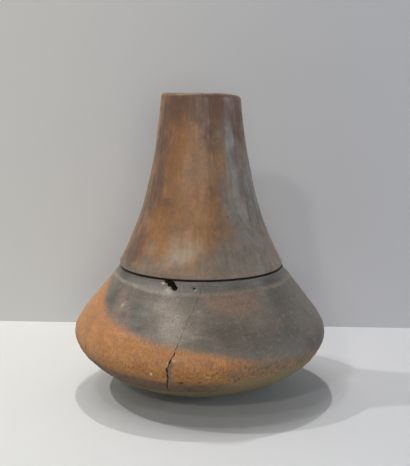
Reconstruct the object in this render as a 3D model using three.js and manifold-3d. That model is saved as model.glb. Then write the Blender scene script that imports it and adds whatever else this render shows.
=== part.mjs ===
// Milk jug of hand-built, burnished earthenware, standing on its foot.
// A wide bowl carries a tall flared neck. A collar under the neck drops into the bowl's mouth,
// and a thin ring of resin packs the seam between the two.
// Millimetres, +Z up, origin at the centre of the foot.

import * as THREE from "three";
import { mergeVertices } from "three/addons/utils/BufferGeometryUtils.js";
import Module from "manifold-3d";

// Bowl
const FOOT_RADIUS = 33.2;
const BELLY_RADIUS = 127.5;
const BELLY_HEIGHT = 61.1;
const RIM_RADIUS = 83.4;
const BOWL_HEIGHT = 126.6;
const BOWL_WALL = 7;
const FLOOR_THICKNESS = 7;
const RIM_WIDTH = 10.9;
const RIM_DEPTH = 8.5;

// Neck
const SKIRT_SETBACK = 0.8;
const SKIRT_EDGE = 5.5;
const SKIRT_ROUNDING = 1.2;
const NECK_HEIGHT = 171;
const MOUTH_RADIUS = 39.7;
const NECK_WALL = 6.5;
const LIP_ROUNDING = 3.4;
const LIP_INNER_ROUNDING = 1.4;
const COLLAR_DEPTH = 12.4;
const COLLAR_WALL = 5.5;

// Seam between bowl and neck
const PACKING_THICKNESS = 1.8;
const PACKING_WIDTH = 7;
const PACKING_RECESS = 2.9;
const SEAT_CLEARANCE = 0.3;
const COLLAR_CLEARANCE = 1;

// Piece broken out of the bowl's rim, on the front left
const BREAK_AZIMUTH = -19.6;
const BREAK_WIDTH = 15.6;
const BREAK_DROP = 6.3;
const BREAK_SLOT = 4.2;

// Curves: slope angles in degrees, and how far each end's direction carries, as a share of the chord
const FOOT_RISE = 9.6;
const SHOULDER_SLOPE = 54.8;
const SKIRT_SLOPE = 60.7;
const LIP_LEAN = 4.7;
const UNDERSIDE_CARRY = [0.36, 0.255];
const SHOULDER_CARRY = [0.196, 0.567];
const NECK_CARRY = [0.305, 0.37];

// Fineness of the faceted solids
const ROUND_SEGMENTS = 64;
const UNDERSIDE_STEPS = 9;
const SHOULDER_STEPS = 9;
const NECK_STEPS = 13;
const ROUNDING_STEPS = 3;
const WELD_DISTANCE = 1e-4;

// Sizes that follow from the ones above
const seatRadius = RIM_RADIUS - SKIRT_SETBACK;
const bowlMouthRadius = RIM_RADIUS - RIM_WIDTH;
const packingBottom = BOWL_HEIGHT + SEAT_CLEARANCE;
const packingTop = packingBottom + PACKING_THICKNESS;
const packingOuter = RIM_RADIUS - PACKING_RECESS;
const neckBottom = packingTop + SEAT_CLEARANCE;
const neckTop = neckBottom + NECK_HEIGHT;
const collarOuter = bowlMouthRadius - COLLAR_CLEARANCE;
const collarInner = collarOuter - COLLAR_WALL;
const collarBottom = neckBottom - COLLAR_DEPTH;

const wasm = await Module();
wasm.setup();

const clay = { roughness: 0.6, metalness: 0 };
const bellyClay = new THREE.MeshStandardMaterial({ name: "fire-clouded clay", color: 0x8a6446, ...clay });
const neckClay = new THREE.MeshStandardMaterial({ name: "burnished clay", color: 0x8a6647, ...clay });
const packing = new THREE.MeshStandardMaterial({ name: "resin packing", color: 0x1e1a17, roughness: 0.7 });

function point(radius, height) {
  return new THREE.Vector2(radius, height);
}

// A direction in the profile plane, from an angle above the outward horizontal.
function heading(degrees) {
  const angle = THREE.MathUtils.degToRad(degrees);
  return point(Math.cos(angle), Math.sin(angle));
}

// A cubic curve that leaves its start along one heading and arrives at its end along another.
function sweep(start, startHeading, end, endHeading, carry, steps) {
  const chord = start.distanceTo(end);
  const firstHandle = start.clone().addScaledVector(startHeading, carry[0] * chord);
  const lastHandle = end.clone().addScaledVector(endHeading, -carry[1] * chord);
  return new THREE.CubicBezierCurve(start, firstHandle, lastHandle, end).getPoints(steps);
}

// The same curve moved inwards by a wall, square to its own direction at each point.
function inset(points, wall) {
  return points.map((place, index) => {
    const before = points[Math.max(index - 1, 0)];
    const after = points[Math.min(index + 1, points.length - 1)];
    const along = after.clone().sub(before).normalize();
    return point(place.x - along.y * wall, place.y + along.x * wall);
  });
}

// A quarter turn between two points, which bulges towards the corner that the two points share.
function rounding(start, corner, end) {
  return new THREE.QuadraticBezierCurve(start, corner, end).getPoints(ROUNDING_STEPS);
}

// Turns a profile, listed up the outside and down the inside, about the jug's axis.
function turned(profile) {
  const closed = profile[0].x > 0 ? [...profile, profile[0].clone()] : profile;
  const geometry = new THREE.LatheGeometry(closed, ROUND_SEGMENTS);
  geometry.rotateX(Math.PI / 2);
  return welded(geometry);
}

// Keeps only the places of the corners, with corners that coincide made one.
function welded(geometry) {
  geometry.deleteAttribute("normal");
  geometry.deleteAttribute("uv");
  return mergeVertices(geometry, WELD_DISTANCE);
}

function toSolid(geometry) {
  const vertProperties = new Float32Array(geometry.attributes.position.array);
  const triVerts = new Uint32Array(geometry.index.array);
  return new wasm.Manifold(new wasm.Mesh({ numProp: 3, vertProperties, triVerts }));
}

function toGeometry(solid) {
  const mesh = solid.getMesh();
  const geometry = new THREE.BufferGeometry();
  geometry.setAttribute("position", new THREE.BufferAttribute(mesh.vertProperties, 3));
  geometry.setIndex(new THREE.BufferAttribute(mesh.triVerts, 1));
  return geometry;
}

function piece(name, geometry, material) {
  geometry.computeVertexNormals();
  const mesh = new THREE.Mesh(geometry, material);
  mesh.name = name;
  return mesh;
}

// The bowl's outer curve from the foot's edge over the belly to the rim's edge.
function bowlOutline() {
  const foot = point(FOOT_RADIUS, 0);
  const belly = point(BELLY_RADIUS, BELLY_HEIGHT);
  const rim = point(RIM_RADIUS, BOWL_HEIGHT);
  const up = heading(90);
  const intoRim = heading(180 - SHOULDER_SLOPE);
  const underside = sweep(foot, heading(FOOT_RISE), belly, up, UNDERSIDE_CARRY, UNDERSIDE_STEPS);
  const shoulder = sweep(belly, up, rim, intoRim, SHOULDER_CARRY, SHOULDER_STEPS);
  return [...underside, ...shoulder.slice(1)];
}

// The inside follows the outside by one wall, from the bowl's floor up to the underside of its thick rim.
function bowlProfile() {
  const outside = bowlOutline();
  const rimUnderside = point(bowlMouthRadius, BOWL_HEIGHT - RIM_DEPTH);
  const roomUnderRim = rimUnderside.y - BOWL_WALL;
  const inside = inset(outside, BOWL_WALL).filter(
    (place) => place.y > FLOOR_THICKNESS && place.y < roomUnderRim,
  );
  return [
    point(0, 0),
    ...outside,
    point(bowlMouthRadius, BOWL_HEIGHT),
    rimUnderside,
    ...inside.reverse(),
    point(FOOT_RADIUS, FLOOR_THICKNESS),
    point(0, FLOOR_THICKNESS),
  ];
}

// The missing piece: a slanting notch that opens at the rim's top and runs right through the rim.
function rimBreak() {
  const half = BREAK_WIDTH / 2;
  const outline = new THREE.Shape([
    point(-half, BREAK_DROP),
    point(-half + BREAK_SLOT / 2, 0.8 * BREAK_DROP),
    point(-0.1 * half, 0.35 * BREAK_DROP),
    point(half - BREAK_SLOT, 0),
    point(half - BREAK_SLOT / 3, 0.05 * BREAK_DROP),
    point(half, BREAK_SLOT * 0.7),
    point(half - BREAK_SLOT, BREAK_DROP * 0.85),
    point(half - 1.5 * BREAK_SLOT, BREAK_DROP),
    point(half - 1.5 * BREAK_SLOT, BREAK_DROP + BREAK_SLOT),
    point(-half, BREAK_DROP + BREAK_SLOT),
  ]);
  const reach = 2 * RIM_WIDTH + BOWL_WALL;
  const geometry = new THREE.ExtrudeGeometry(outline, { depth: reach, bevelEnabled: false });
  geometry.rotateX(Math.PI / 2);
  geometry.translate(0, -bowlMouthRadius + BOWL_WALL, BOWL_HEIGHT - BREAK_DROP);
  geometry.rotateZ(THREE.MathUtils.degToRad(BREAK_AZIMUTH));
  return welded(geometry);
}

function bowlBody() {
  const whole = toSolid(turned(bowlProfile()));
  return toGeometry(whole.subtract(toSolid(rimBreak())));
}

// The skirt's edge stands upright, then the neck sweeps in and up to the lip.
function neckOutline() {
  const skirtTop = point(seatRadius, neckBottom + SKIRT_EDGE);
  const lipBase = point(MOUTH_RADIUS, neckTop - LIP_ROUNDING);
  const intoNeck = heading(180 - SKIRT_SLOPE);
  const intoLip = heading(90 + LIP_LEAN);
  return sweep(skirtTop, intoNeck, lipBase, intoLip, NECK_CARRY, NECK_STEPS);
}

function neckProfile() {
  const outside = neckOutline();
  const inside = inset(outside, NECK_WALL);
  const lipBase = outside.at(-1);
  const lipCorner = point(lipBase.x, neckTop);
  const innerCorner = point(lipBase.x - NECK_WALL, neckTop);
  const skirtCorner = point(seatRadius, neckBottom);
  const throat = inside.filter((place) => place.x < collarInner && place.y < lipBase.y - LIP_ROUNDING);
  return [
    point(collarOuter, collarBottom),
    point(collarOuter, neckBottom),
    ...rounding(
      point(seatRadius - SKIRT_ROUNDING, neckBottom),
      skirtCorner,
      point(seatRadius, neckBottom + SKIRT_ROUNDING),
    ),
    ...outside,
    ...rounding(lipBase, lipCorner, point(lipCorner.x - LIP_ROUNDING, neckTop)).slice(1),
    ...rounding(
      point(innerCorner.x + LIP_INNER_ROUNDING, neckTop),
      innerCorner,
      point(innerCorner.x, neckTop - LIP_INNER_ROUNDING),
    ),
    ...throat.reverse(),
    point(collarInner, neckBottom),
    point(collarInner, collarBottom),
  ];
}

function packingProfile() {
  const packingInner = packingOuter - PACKING_WIDTH;
  return [
    point(packingInner, packingBottom),
    point(packingOuter, packingBottom),
    point(packingOuter, packingTop),
    point(packingInner, packingTop),
  ];
}

const bowl = new THREE.Group();
bowl.add(piece("bowl_body", bowlBody(), bellyClay));
bowl.add(piece("seam_lute", turned(packingProfile()), packing));

const jug = new THREE.Group();
jug.add(bowl);
jug.add(piece("neck", turned(neckProfile()), neckClay));

export default jug;
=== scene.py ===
"""A milk jug of hand-built, burnished, open-fired clay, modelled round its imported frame.

The bowl, the neck and the packing in the seam are surfaces worked out with numpy. Each is a profile that
is turned about the jug's axis and moved along its own normals by what hands, tools and wear have left.
"""

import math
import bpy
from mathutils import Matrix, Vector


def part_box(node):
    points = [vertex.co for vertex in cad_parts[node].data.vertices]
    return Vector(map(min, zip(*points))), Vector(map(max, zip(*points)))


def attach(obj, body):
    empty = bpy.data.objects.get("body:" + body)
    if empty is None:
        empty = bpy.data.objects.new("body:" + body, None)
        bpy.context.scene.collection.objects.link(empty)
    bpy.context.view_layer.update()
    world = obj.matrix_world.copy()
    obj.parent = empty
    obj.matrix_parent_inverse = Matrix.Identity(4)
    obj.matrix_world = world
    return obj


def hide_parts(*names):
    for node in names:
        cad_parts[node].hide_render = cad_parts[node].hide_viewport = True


bl_info = {
    "name": "Burnished milk jug",
    "version": (1, 0, 0),
    "blender": (4, 5, 0),
    "location": "3D View > Sidebar > Milk jug",
    "description": "Builds a clay milk jug with fire clouds, burnish, a crack and a packed seam",
    "category": "Add Mesh",
}

import bpy
import numpy as np
from bpy.props import FloatProperty, FloatVectorProperty, PointerProperty

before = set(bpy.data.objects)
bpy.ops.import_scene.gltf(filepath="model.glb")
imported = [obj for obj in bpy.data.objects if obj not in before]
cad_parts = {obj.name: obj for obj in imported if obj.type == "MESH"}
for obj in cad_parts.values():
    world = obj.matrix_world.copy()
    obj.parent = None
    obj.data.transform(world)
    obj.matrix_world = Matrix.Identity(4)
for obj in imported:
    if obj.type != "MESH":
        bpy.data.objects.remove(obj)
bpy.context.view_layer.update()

MM = 0.001
FULL_TURN = 360.0

# Sizes that the frame gives
BOWL_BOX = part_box("bowl_body")
NECK_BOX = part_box("neck")
PACKING_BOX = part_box("seam_lute")
BELLY_RADIUS = BOWL_BOX[1][0]
RIM_HEIGHT = BOWL_BOX[1][2]
NECK_TOP = NECK_BOX[1][2]
SKIRT_RADIUS = NECK_BOX[1][0]
COLLAR_BOTTOM = NECK_BOX[0][2]
PACKING_RADIUS = PACKING_BOX[1][0]
PACKING_BOTTOM = PACKING_BOX[0][2]
PACKING_TOP = PACKING_BOX[1][2]
SEAT_CLEARANCE = PACKING_BOTTOM - RIM_HEIGHT
NECK_BOTTOM = PACKING_TOP + SEAT_CLEARANCE

# Sizes of the bowl's and the neck's walls and curves, as the solids have them
FOOT_RADIUS = 33.2 * MM
BELLY_HEIGHT = 61.1 * MM
RIM_RADIUS = 83.4 * MM
RIM_WIDTH = 10.9 * MM
RIM_DEPTH = 8.5 * MM
BOWL_WALL = 7.0 * MM
MOUTH_RADIUS = 39.7 * MM
NECK_WALL = 6.5 * MM
COLLAR_CLEARANCE = 1.0 * MM
COLLAR_WALL = 5.5 * MM
PACKING_WIDTH = 7.0 * MM
FOOT_RISE = 9.6
SHOULDER_SLOPE = 54.8
SKIRT_SLOPE = 60.7
LIP_LEAN = 4.7
UNDERSIDE_CARRY = (0.36, 0.255)
SHOULDER_CARRY = (0.196, 0.567)
NECK_CARRY = (0.305, 0.37)

# The skirt's edge, which wear has left lower and smaller than the solid's, and how far it hangs over the
# packing
SKIRT_EDGE = 3.5 * MM
SKIRT_DROOP = 0.7 * MM
SKIRT_WEAR = 0.6 * MM

# Small roundings of edges, and where the middle of the foot and of the floor are closed
RIM_ROUNDING = 0.7 * MM
COLLAR_ROUNDING = 1.2 * MM
SKIRT_ROUNDING = 0.8 * MM
LIP_ROUNDING = 4.8 * MM
LIP_INNER_ROUNDING = 1.6 * MM
PACKING_ROUNDING = 0.5 * MM
AXIS_GAP = 0.5 * MM

# Fineness of the surfaces: points on each curve, steps along and round, waves in each noise, and in degrees
# how far corners are eased, where the coarser back begins, and the sharpest bend that still looks smooth
CURVE_POINTS = 240
ROUNDING_POINTS = 30
FILL_STEP = 0.1 * MM
AZIMUTH_STEPS = 14400
NOISE_WAVES = 18
EASE_ANGLE = 6
BACK_ANGLES = (80, 110)
SHARP_ANGLE = 48

# Wear: the crack where it closes, how many pits the bowl has, and where the lip is worn down and how widely,
# both in degrees
THINNEST_CRACK = 0.02 * MM
PIT_COUNT = 110
LIP_WEAR = ((92, 30), (180, 45))
BACK_LIP_WEAR = 0.7 * MM

# The radius of the drum on which the burnisher's upright streaks are drawn, before they are wrapped on
STREAK_RADIUS = 60 * MM


def hex_colour(text):
    """A linear colour from an sRGB hex value: each channel goes through the sRGB curve backwards."""
    channels = [int(text[place : place + 2], 16) / 255 for place in (1, 3, 5)]
    return tuple(c / 12.92 if c <= 0.04045 else ((c + 0.055) / 1.055) ** 2.4 for c in channels)


def size_property(name, description, default):
    return FloatProperty(name=name, description=description, default=default, unit="LENGTH", precision=5)


def colour_property(name, description, default):
    return FloatVectorProperty(
        name=name, description=description, default=hex_colour(default), subtype="COLOR", min=0, max=1
    )


class JugSizes(bpy.types.PropertyGroup):
    """Sizes of what hands, tools and wear have left on the jug."""

    wobble: size_property("Hand wobble", "How far the wall strays from a true round", 0.35 * MM)
    facets: size_property("Burnish facets", "Depth of the flats that the burnishing pebble left", 0.11 * MM)
    scraping: size_property("Scraping", "Depth of the scraped and pitted belly", 0.16 * MM)
    band_hollow: size_property("Band hollow", "How far the band under the seam is pressed in", 0.7 * MM)
    ridge: size_property("Ridge", "How far the ridge under the band stands out", 0.5 * MM)
    lip_wear: size_property("Lip wear", "How far the lip is worn down on the right", 2.6 * MM)
    crack_width: size_property("Crack width", "Width of the crack where it gapes most", 1.7 * MM)
    crack_depth: size_property("Crack depth", "Depth of the crack where it gapes most", 5.0 * MM)
    shift: size_property("Shift", "How far the rim and the neck sit to the right of the belly", 1.0 * MM)
    swing: size_property("Swing", "How far the foot sits to the right of the belly", 1.6 * MM)
    droop: size_property("Droop", "How far the neck's skirt hangs lower on the right", 0.65 * MM)


class JugColours(bpy.types.PropertyGroup):
    """Colours of the clay, the smoke and the packing."""

    orange: colour_property("Fired orange", "Clay that air reached in the fire", "#BC8452")
    ochre: colour_property("Fired ochre", "Duller clay low on the belly", "#A26D36")
    russet: colour_property("Fired russet", "Redder patches of the fired clay", "#A06A47")
    gold: colour_property("Fired gold", "Yellow strokes between the scraped ones", "#AC8846")
    rust: colour_property("Rust", "The browner clay round to the right", "#69604E")
    cloud: colour_property("Smoke cloud", "Clay smoked grey", "#766D62")
    dark_cloud: colour_property("Dark cloud", "The darkest smoke on the shoulder", "#5A554D")
    light_cloud: colour_property("Light cloud", "Smoke worn thin", "#988C7F")
    brown_cloud: colour_property("Brown cloud", "Thin smoke over brown clay", "#897161")
    band: colour_property("Band", "The pressed band under the seam", "#6E6A64")
    # The ridge colour is also painted highlight along the ridge under the band, and tints patches of the
    # fired clay.
    ridge: colour_property("Ridge", "The rubbed ridge under the band", "#8C7B68")
    olive: colour_property("Olive underside", "The lowest belly, stained by the ground", "#7D7658")
    # The char colour is dark grit, char on the underside, and painted shade: the down-facing underside band,
    # darkest on the left, and the foot get it.
    char: colour_property("Char", "The charred ring over the underside", "#554B3F")
    flake: colour_property("Flaked core", "Grey core where the skin has flaked off", "#6C6453")
    chip: colour_property("Fresh chip", "Clay where the skin was knocked off lately", "#C4B8A4")
    # The inside colour is smoke on the jug's inside and also painted shade: it darkens the inside, the
    # break's faces and the seam, where shade falls.
    inside: colour_property("Smoked inside", "The jug's inside, where its soot is thin", "#453A31")
    # Soot also stands for painted shade: in the crack, and mixed into the inside colour.
    soot: colour_property("Soot", "Thick soot, and the depth of the crack", "#1C1714")
    tan: colour_property("Burnished tan", "The neck's main colour", "#98704A")
    # Burnished brown is darker streaks of the clay, and on the neck's left flank also painted shade.
    brown: colour_property("Burnished brown", "The neck's darker streaks", "#6E5241")
    amber: colour_property("Burnished amber", "The neck's warmest patches", "#99693E")
    # This colour is thin smoke on the neck, and along its right side also a painted sheen where the highlight
    # streak runs.
    smoke_and_sheen: colour_property("Mauve smoke", "Thin smoke on the neck", "#81776B")
    pale: colour_property("Pale bloom", "The neck's palest patches", "#A8957F")
    # The packing's near-black colour stands in for the shade in the seam under the neck's skirt.
    packing: colour_property("Packing", "Resin mixed with ash", "#1A1613")
    # The right-hand shelf and wall colours are darker as painted shade, away from the lamps.
    shelf_left: colour_property("Shelf, left", "The pale floor on the left", "#E2E2DF")
    shelf_right_shaded: colour_property("Shelf, right", "The pale floor on the right", "#D2D2D4")
    wall_left: colour_property("Wall, left", "The grey backdrop on the left", "#D3D2CF")
    wall_right_shaded: colour_property("Wall, right", "The grey backdrop on the right", "#C6C6C9")


def heading(degrees):
    """A unit direction in the profile plane: the cosine outwards and the sine upwards."""
    angle = math.radians(degrees)
    return np.array([math.cos(angle), math.sin(angle)])


def sweep(start, start_slope, end, end_slope, carry):
    """A cubic curve that leaves start along one slope and reaches end along another: Bernstein's formula."""
    start, end = np.array(start), np.array(end)
    chord = np.linalg.norm(end - start)
    first = start + carry[0] * chord * heading(start_slope)
    last = end - carry[1] * chord * heading(end_slope)
    t = np.linspace(0, 1, CURVE_POINTS)[:, None]
    return (1 - t) ** 3 * start + 3 * (1 - t) ** 2 * t * first + 3 * (1 - t) * t**2 * last + t**3 * end


def rounding(corner, before, after):
    """A rounded corner: a quadratic curve that starts at one offset from the corner, bulges towards the
    corner and ends at the other offset."""
    t = np.linspace(0, 1, ROUNDING_POINTS)[:, None]
    return np.array(corner) + (1 - t) ** 2 * np.array(before) + t**2 * np.array(after)


def joined(parts):
    """One profile of several stretches: each point's radius and height, and its stretch's share of inside."""
    return np.vstack([np.column_stack([points, np.full(len(points), share)]) for points, share in parts])


def inset(points, wall):
    """The curve moved inwards: each point goes one wall's width to the left of the way that it heads."""
    along = np.gradient(points, axis=0)
    along /= np.linalg.norm(along, axis=1)[:, None]
    return points + wall * np.column_stack([-along[:, 1], along[:, 0]])


def filled(points):
    """The same line with points added, so that none lie further apart than the fill step."""
    steps = np.linalg.norm(np.diff(points[:, :2], axis=0), axis=1)
    length = np.concatenate([[0], np.cumsum(steps)])
    wanted = np.union1d(length, np.arange(0, length[-1], FILL_STEP))
    return np.column_stack([np.interp(wanted, length, column) for column in points.T])


def spread(points, spacing):
    """Rows along a line, each step as long as spacing says there: length over spacing is summed, and the
    line is read back where that sum passes whole numbers."""
    steps = np.linalg.norm(np.diff(points[:, :2], axis=0), axis=1)
    middles = (points[1:] + points[:-1]) / 2
    count = np.concatenate([[0], np.cumsum(steps / spacing(middles))])
    wanted = np.linspace(0, count[-1], round(count[-1]) + 1)
    return np.column_stack([np.interp(wanted, count, column) for column in points.T])


def spread_around(spacing):
    """Azimuths round the whole turn, in degrees, spaced as spacing says at each, by the same sum."""
    fine = np.linspace(-FULL_TURN / 2, FULL_TURN / 2, AZIMUTH_STEPS + 1)
    middles = (fine[1:] + fine[:-1]) / 2
    count = np.concatenate([[0], np.cumsum(np.diff(fine) / spacing(middles))])
    wanted = np.linspace(0, count[-1], round(count[-1]) + 1)[:-1]
    return np.interp(wanted, count, fine)


def hump(distance, width):
    """A bell curve: 1 at no distance, and e to the minus a half at one width."""
    return np.exp(-0.5 * (distance / width) ** 2)


def ramp(value, low, high):
    """A smooth step from 0 at low to 1 at high: three squares less two cubes of the share between them."""
    share = np.clip((value - low) / (high - low), 0, 1)
    return share * share * (3 - 2 * share)


def swell(points, wavelength, seed):
    """Smooth noise about -1 to 1: a sum of sine waves of random direction, each about one wavelength long."""
    random = np.random.default_rng(seed)
    waves = random.normal(size=(NOISE_WAVES, 3))
    stretch = random.uniform(0.65, 1.5, NOISE_WAVES) / np.linalg.norm(waves, axis=1)
    waves *= (2 * math.pi / wavelength * stretch)[:, None]
    phases = random.uniform(0, 2 * math.pi, NOISE_WAVES)
    return np.sin(points @ waves.T + phases).sum(axis=-1) / math.sqrt(NOISE_WAVES)


def turn_apart(azimuth, centre):
    """The signed angle between azimuths, in degrees, taken the short way round."""
    return (azimuth - centre + FULL_TURN / 2) % FULL_TURN - FULL_TURN / 2


def arc(places, centre):
    """How far places lie round to the right of an azimuth: the angle between them, times the radius."""
    azimuth, _, radius = places
    return np.radians(turn_apart(azimuth, centre)) * radius


def marks(spots, places):
    """A sum of soft spots at places of azimuth, height and radius: each spot is its strength times one bell
    curve across and one up."""
    height = places[1]
    total = np.zeros_like(height)
    for centre, level, width, tall, strength in spots:
        total += strength * hump(arc(places, centre), width * MM) * hump(height - level * MM, tall * MM)
    return total


def around(points, azimuth):
    """A smooth closed line through (azimuth, value) points: their straight joins, averaged over a few degrees
    to either side."""
    centres, values = np.array(points, float).T
    shifts = np.linspace(-EASE_ANGLE, EASE_ANGLE, 7)
    nearby = [np.interp(azimuth + shift, centres, values, period=FULL_TURN) for shift in shifts]
    return np.mean(nearby, axis=0)


def outward(profile, loop):
    """Unit normals of a profile that runs up the outside and down the inside: each is the step there,
    turned a quarter to the right."""
    if loop:
        along = np.roll(profile, -1, axis=0) - np.roll(profile, 1, axis=0)
    else:
        along = np.gradient(profile, axis=0)
    along /= np.linalg.norm(along, axis=1)[:, None]
    return np.column_stack([along[:, 1], -along[:, 0]])


def turned(profile, azimuth, relief, loop):
    """A profile turned about the axis and moved out by relief: radius and height each grow by relief times
    the normal, and the radius goes round as its sine across and minus its cosine towards the viewer."""
    normal = outward(profile[:, :2], loop)
    radius = profile[:, :1] + normal[:, :1] * relief
    height = profile[:, 1:2] + normal[:, 1:] * relief
    angle = np.radians(azimuth)
    places = np.broadcast_arrays(radius * np.sin(angle), -radius * np.cos(angle), height)
    return np.stack(places, axis=-1)


def set_aside(points, sizes):
    """The jug's slight unevenness: each point moves right, by the swing at the foot, by nothing at the belly,
    and by the shift from the rim up, with a smooth step between them."""
    height = points[..., 2]
    under = sizes.swing * (1 - ramp(height, 0, BELLY_HEIGHT))
    points[..., 0] += under + sizes.shift * ramp(height, BELLY_HEIGHT, RIM_HEIGHT)
    return points


def shell_mesh(name, points, loop):
    """A closed mesh of a grid of points, rows up the profile and columns round the axis. A looped profile
    closes on itself, and any other gets a point at each pole, with a fan of triangles round it."""
    rows, columns = points.shape[:2]
    ring = np.arange(rows * columns).reshape(rows, columns)
    if loop:
        ring = np.vstack([ring, ring[:1]])
    ring = np.hstack([ring, ring[:, :1]])
    corners = (ring[:-1, :-1], ring[:-1, 1:], ring[1:, 1:], ring[1:, :-1])
    faces = np.stack(corners, axis=-1).reshape(-1, 4).tolist()
    vertices = points.reshape(-1, 3)
    if not loop:
        low_pole, high_pole = len(vertices), len(vertices) + 1
        vertices = np.vstack([vertices, points[0].mean(axis=0), points[-1].mean(axis=0)])
        faces += np.column_stack([np.full(columns, low_pole), ring[0, 1:], ring[0, :-1]]).tolist()
        faces += np.column_stack([ring[-1, :-1], ring[-1, 1:], np.full(columns, high_pole)]).tolist()
    mesh = bpy.data.meshes.new(name)
    mesh.from_pydata(vertices.tolist(), [], faces)
    mesh.validate()
    return mesh


def coordinates_of(mesh):
    """The places of a mesh's vertices, a row for each."""
    flat = np.empty(len(mesh.vertices) * 3)
    mesh.vertices.foreach_get("co", flat)
    return flat.reshape(-1, 3)


def vertex_places(mesh):
    """Each vertex's azimuth in degrees, height and radius."""
    x, y, z = coordinates_of(mesh).T
    return np.degrees(np.arctan2(x, -y)), z, np.hypot(x, y)


def paint(mesh, **layers):
    """Stores one number for each vertex under each name, for the materials to read."""
    for name, values in layers.items():
        layer = mesh.attributes.new(name, "FLOAT", "POINT")
        layer.data.foreach_set("value", np.asarray(values, dtype=np.float32))


# The crack in the front of the bowl, from the band down to the underside: azimuth in degrees and height in
# millimetres, then its width as a share of the widest.
CRACK_LINE = (
    (1.2, 127, 0), (0.7, 122, 0.2), (-0.3, 115, 0.22), (-2.3, 110.4, 0.16), (-3.2, 105.7, 0.2),
    (-4.4, 101, 0.17), (-5.7, 96.8, 0.17), (-7.4, 88.8, 0.16), (-9, 78.6, 0.2), (-9.5, 75.8, 0.3),
    (-10, 72.8, 0.45), (-10.5, 69, 0.6), (-11.3, 66.2, 0.55), (-12, 63.9, 0.9), (-12.1, 61, 0.45),
    (-13.2, 57.1, 0.8), (-13.3, 50.5, 0.7), (-13.6, 45.3, 0.8), (-14.7, 39.2, 0.6), (-15.6, 33.3, 0.55),
    (-16.4, 27.4, 0.4), (-18.5, 18, 0),
)
CRACK_SWAY = 80.0

# The piece broken out of the rim, as across and up from the rim's edge at its azimuth, in millimetres
BREAK_AZIMUTH = -19.6
BREAK_OUTLINE = (
    (-6.9, 0.2), (-6.2, -1.8), (-3.6, -2.9), (-1.9, -4), (1.6, -5.5), (4.2, -7.2), (6.5, -7.9), (8.1, -6.9),
    (7.9, -4.6), (6, -2.8), (4.6, -1.2), (3.2, 0.2), (3.2, 4.2), (-6.9, 4.2),
)
BREAK_REACH = (60.0 * MM, 98.0 * MM)

# The ridge under the band: azimuth in degrees and height in millimetres
RIDGE_LINE = (
    (-180, 119.5), (-120, 121), (-75, 121.4), (-59, 119.9), (-43, 118.6), (-32, 117.1), (-20, 115.8),
    (0, 116.2), (20, 116.8), (46, 117.4), (75, 117.4), (120, 118),
)

# The lower edge of the smoke cloud on the bowl: azimuth in degrees and height in millimetres
CLOUD_EDGE = (
    (-180, 84), (-150, 96), (-115, 118), (-84, 120), (-73, 110), (-65, 100), (-57, 93), (-48, 88.5),
    (-34, 83), (-22, 77.5), (-9, 74), (0, 71.5), (10, 66.5), (23, 60), (34, 57.5), (46, 56), (56, 54),
    (66, 51), (80, 52), (105, 66), (130, 60), (155, 66),
)

# The upper edge of the darker ring over the underside, char and painted shade, in the same terms
CHAR_EDGE = (
    (-180, 41), (-110, 44), (-64, 48), (-52, 46), (-38, 43.5), (-26, 42.5), (-14, 39.5), (6, 39.2),
    (18, 41), (32, 43.5), (46, 45.5), (62, 45), (110, 42),
)

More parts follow.
